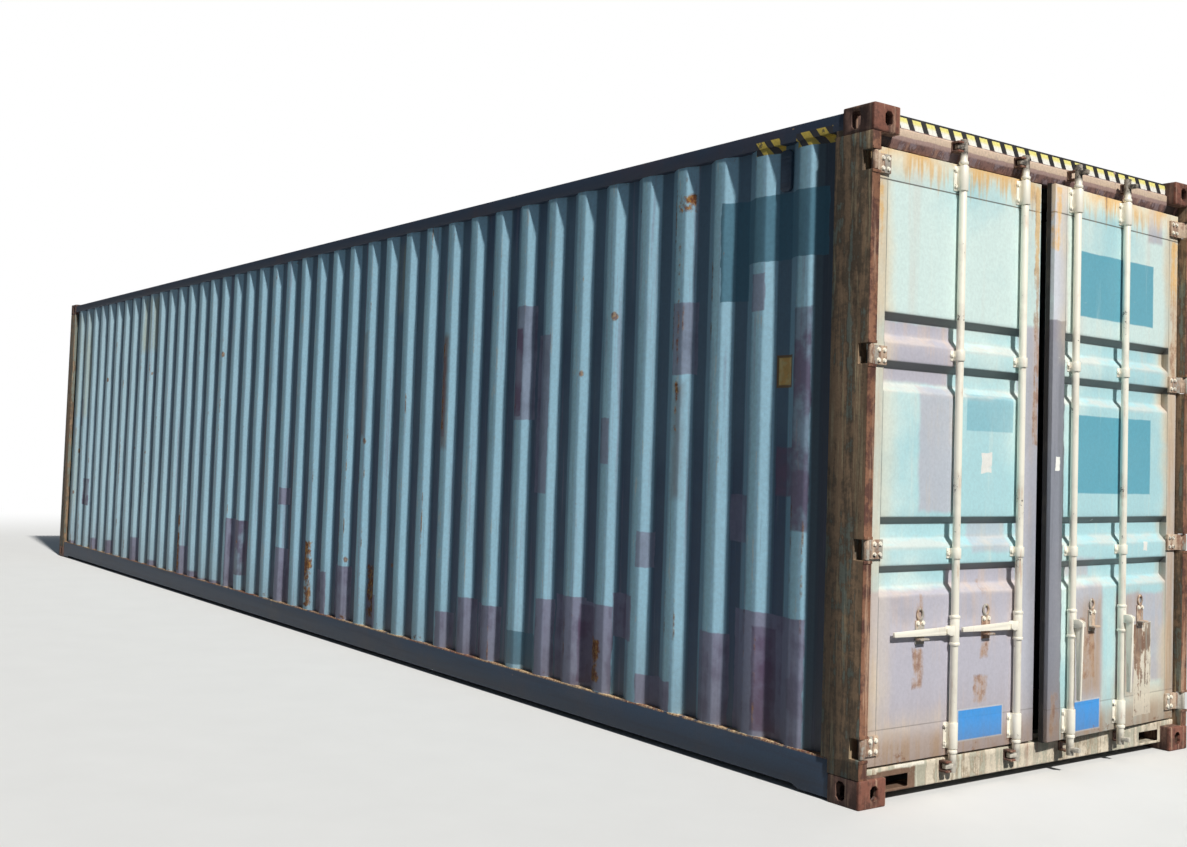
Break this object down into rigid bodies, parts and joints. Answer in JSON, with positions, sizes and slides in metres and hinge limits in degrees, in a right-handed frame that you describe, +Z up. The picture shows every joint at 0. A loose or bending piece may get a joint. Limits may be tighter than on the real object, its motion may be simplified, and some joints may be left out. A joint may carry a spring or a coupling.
{
  "type": "shipping container",
  "caption": "Long high box of corrugated steel panels on a frame with corner fittings, with two end doors closed by lock rods with lever handles",
  "frame": {"origin": "centre of the rectangle that the four bottom corner fittings stand on", "axes": "+X along the length towards the doors, +Y across to the right door, +Z up"},
  "size_m": [12.2834, 2.438, 2.896],
  "materials": {
    "casting_steel": "rusty brown paint on cast steel",
    "frame_steel": "worn paint with rust",
    "underframe_steel": "dark coating with dirt and rust",
    "panel_steel": "faded teal paint with patches of primer and rust",
    "locking_gear": "cream galvanised steel with dirt",
    "door_seal": "black rubber",
    "plywood": "worn brown plywood",
    "vent_plastic": "dark plastic"
  },
  "bodies": {
    "container": {"bottom_side_rail_left": "underframe_steel", "bottom_side_rail_right": "underframe_steel", "cam_keepers": "locking_gear", "corner_fittings_bottom": "casting_steel", "corner_fittings_top": "casting_steel", "cross_members": "underframe_steel", "door_header": "frame_steel", "door_sill": "frame_steel", "floor": "plywood", "front_panel": "panel_steel", "front_post_left": "frame_steel", "front_post_right": "frame_steel", "front_sill": "underframe_steel", "front_top_rail": "frame_steel", "gooseneck_tunnel": "underframe_steel", "rear_post_left": "frame_steel", "rear_post_right": "frame_steel", "roof_corner_plates": "panel_steel", "roof_panel": "panel_steel", "side_panel_left": "panel_steel", "side_panel_right": "panel_steel", "threshold_plate": "frame_steel", "top_side_rail_left": "frame_steel", "top_side_rail_right": "frame_steel", "ventilators": "vent_plastic"},
    "left_door": {"left_door_frame": "frame_steel", "left_door_gasket": "door_seal", "left_door_hinges": "frame_steel", "left_door_panel": "panel_steel", "left_handle_catches": "locking_gear", "left_rod_guides": "locking_gear"},
    "right_door": {"right_door_frame": "frame_steel", "right_door_gasket": "door_seal", "right_door_hinges": "frame_steel", "right_door_panel": "panel_steel", "right_handle_catches": "locking_gear", "right_rod_guides": "locking_gear"},
    "left_handle_inner": {"left_handle_inner": "locking_gear"},
    "left_handle_outer": {"left_handle_outer": "locking_gear"},
    "left_rod_inner": {"left_rod_inner": "locking_gear"},
    "left_rod_outer": {"left_rod_outer": "locking_gear"},
    "right_handle_inner": {"right_handle_inner": "locking_gear"},
    "right_handle_outer": {"right_handle_outer": "locking_gear"},
    "right_rod_inner": {"right_rod_inner": "locking_gear"},
    "right_rod_outer": {"right_rod_outer": "locking_gear"}
  },
  "joints": [
    {"name": "left_door_swing", "type": "hinge", "parent": "container", "child": "left_door", "pos_m": [6.081, -1.194, 0.153], "axis": [0, 0, -1], "range_deg": [0, 255]},
    {"name": "right_door_swing", "type": "hinge", "parent": "container", "child": "right_door", "pos_m": [6.081, 1.194, 0.153], "axis": [0, 0, 1], "range_deg": [-3, 252]},
    {"name": "left_rod_outer_turn", "type": "hinge", "parent": "left_door", "child": "left_rod_outer", "pos_m": [6.071, -0.6103, 0.69], "axis": [0, 0, -1], "range_deg": [-90, 0]},
    {"name": "left_handle_outer_lift", "type": "hinge", "parent": "left_rod_outer", "child": "left_handle_outer", "pos_m": [6.071, -0.6523, 0.69], "axis": [-1, 0, 0], "range_deg": [0, 25]},
    {"name": "left_rod_inner_turn", "type": "hinge", "parent": "left_door", "child": "left_rod_inner", "pos_m": [6.071, -0.16525, 0.69], "axis": [0, 0, -1], "range_deg": [-90, 0]},
    {"name": "left_handle_inner_lift", "type": "hinge", "parent": "left_rod_inner", "child": "left_handle_inner", "pos_m": [6.071, -0.20725, 0.69], "axis": [-1, 0, 0], "range_deg": [0, 25]},
    {"name": "right_rod_outer_turn", "type": "hinge", "parent": "right_door", "child": "right_rod_outer", "pos_m": [6.10156, 0.61058, 0.69], "axis": [0, 0, 1], "range_deg": [0, 90]},
    {"name": "right_handle_outer_lift", "type": "hinge", "parent": "right_rod_outer", "child": "right_handle_outer", "pos_m": [6.14351, 0.61277, 0.69], "axis": [0.0523, -0.9986, 0], "range_deg": [0, 95]},
    {"name": "right_rod_inner_turn", "type": "hinge", "parent": "right_door", "child": "right_rod_inner", "pos_m": [6.12485, 0.16614, 0.69], "axis": [0, 0, 1], "range_deg": [0, 90]},
    {"name": "right_handle_inner_lift", "type": "hinge", "parent": "right_rod_inner", "child": "right_handle_inner", "pos_m": [6.1668, 0.16834, 0.69], "axis": [0.0523, -0.9986, 0], "range_deg": [0, 95]}
  ]
}
